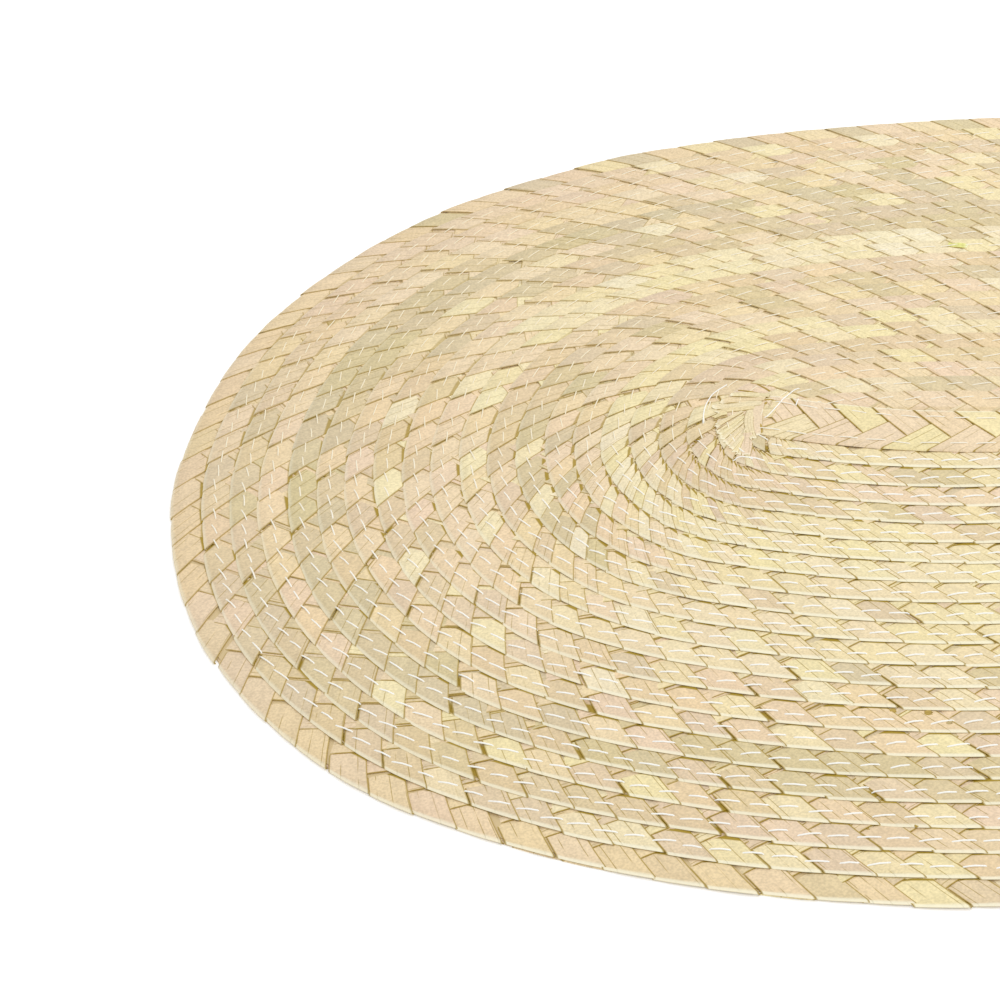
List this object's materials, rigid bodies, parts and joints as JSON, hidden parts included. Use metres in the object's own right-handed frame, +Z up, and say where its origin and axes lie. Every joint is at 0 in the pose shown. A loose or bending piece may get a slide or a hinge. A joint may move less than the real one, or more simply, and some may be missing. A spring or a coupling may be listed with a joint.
{
  "type": "oval palm leaf table mat",
  "caption": "Oval table mat of plaited palm leaf, one flat plait wound in shingled rows round a short straight strip and sewn with white thread, lying flat.",
  "frame": {"origin": "centre of the mat's outline, on the surface that it lies on", "axes": "+X along the oval's length, +Y across it towards the picture's far side, +Z up through its thickness"},
  "size_m": [0.4368, 0.3542, 0.0022],
  "materials": {
    "palm_leaf": "matt to slightly silky dry palm leaf, pale straw with pinkish and greenish strands"
  },
  "bodies": {
    "root": {"palm_mat": "palm_leaf"}
  },
  "joints": []
}
